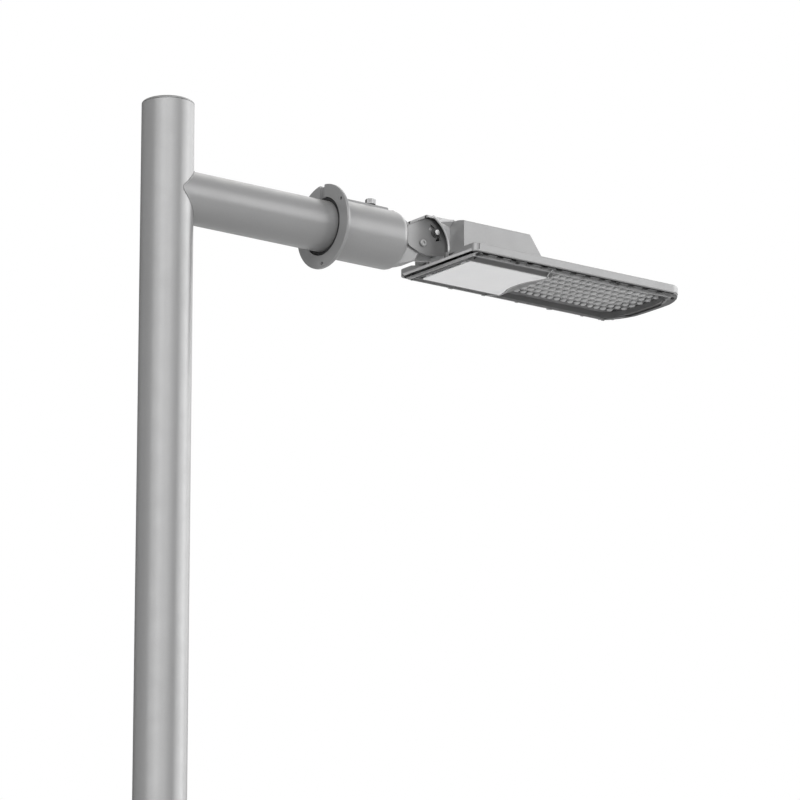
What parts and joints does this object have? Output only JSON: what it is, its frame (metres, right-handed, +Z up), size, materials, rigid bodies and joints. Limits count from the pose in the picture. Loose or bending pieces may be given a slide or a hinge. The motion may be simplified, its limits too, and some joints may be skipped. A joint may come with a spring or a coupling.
{
  "type": "street lamp post",
  "caption": "Slim grey street lamp post on a gusseted base plate, with a short side arm, a swivel coupler and a flat tilting LED head.",
  "frame": {"origin": "centre of the base plate's underside, on the ground, under the pole axis", "axes": "+Z up the pole, +X along the side arm towards the lamp head, +Y across"},
  "size_m": [1.061, 0.32, 3.1399],
  "materials": {
    "pole_paint": "satin grey powder coat on galvanised steel",
    "head_paint": "satin light grey powder coat on die-cast aluminium",
    "frame_paint": "satin dark grey powder coat",
    "cover_paint": "smooth pale grey powder coat",
    "steel": "bright stainless fasteners",
    "zinc": "zinc plated",
    "rubber": "black moulded seal",
    "lens": "clear optical polycarbonate, seen grey over the LED board",
    "pcb": "white solder mask",
    "plastic_dark": "dark moulded plastic",
    "plastic_grey": "grey moulded plastic",
    "driver_case": "plain aluminium case"
  },
  "bodies": {
    "post": {"base_plate": "pole_paint", "base_gusset_1": "pole_paint", "base_gusset_2": "pole_paint", "base_gusset_3": "pole_paint", "base_gusset_4": "pole_paint", "pole_base_tube": "pole_paint", "pole_tube": "pole_paint", "pole_cap": "pole_paint", "arm_tube": "pole_paint", "door_hinge_leaf_1": "zinc", "door_hinge_leaf_2": "zinc", "door_hinge_pin": "steel", "equipment_board": "plastic_grey", "fused_cutout": "plastic_dark", "earth_bolt": "steel"},
    "service_door": {"service_door": "pole_paint"},
    "door_lock": {"door_lock": "steel"},
    "coupler": {"swivel_coupler": "head_paint", "coupler_seal": "rubber", "clamp_bolt": "steel", "grub_screw": "steel", "flange_screw_1": "steel", "flange_screw_2": "steel", "flange_screw_3": "steel", "pivot_bolt": "steel", "pivot_nut": "steel", "lock_bolt": "steel", "lock_nut": "steel", "lock_washer_1": "zinc", "lock_washer_2": "zinc"},
    "luminaire": {"luminaire_housing": "head_paint", "bottom_frame": "frame_paint", "frame_screw_1": "steel", "frame_screw_2": "steel", "frame_screw_3": "steel", "frame_screw_4": "steel", "frame_screw_5": "steel", "frame_screw_6": "steel", "frame_screw_7": "steel", "frame_screw_8": "steel", "lens_plate": "lens", "led_board": "pcb", "cover_gasket": "rubber", "led_driver": "driver_case", "surge_protector": "plastic_dark", "terminal_block": "plastic_grey", "cable_gland": "plastic_dark", "breather_vent": "plastic_dark", "cover_hinge_rod": "steel"},
    "driver_cover": {"driver_cover": "cover_paint", "cover_screw_1": "steel", "cover_screw_2": "steel"}
  },
  "joints": [
    {"name": "coupler_swivel", "type": "hinge", "parent": "post", "child": "coupler", "pos_m": [0.33, 0, 3], "axis": [1, 0, 0], "range_deg": [-90, 90]},
    {"name": "head_tilt", "type": "hinge", "parent": "coupler", "child": "luminaire", "pos_m": [0.443, 0, 3], "axis": [0, 1, 0], "range_deg": [-15, 15]},
    {"name": "cover_hinge", "type": "hinge", "parent": "luminaire", "child": "driver_cover", "pos_m": [0.5035, 0, 2.9774], "axis": [0, 1, 0], "range_deg": [0, 90]},
    {"name": "door_hinge", "type": "hinge", "parent": "post", "child": "service_door", "pos_m": [0.0364, -0.02364, 0.74], "axis": [0, 0, 1], "range_deg": [0, 110]},
    {"name": "lock_turn", "type": "hinge", "parent": "service_door", "child": "door_lock", "pos_m": [-0.01668, -0.03746, 0.74], "axis": [-0.4067, -0.9135, 0], "range_deg": [0, 90]}
  ]
}
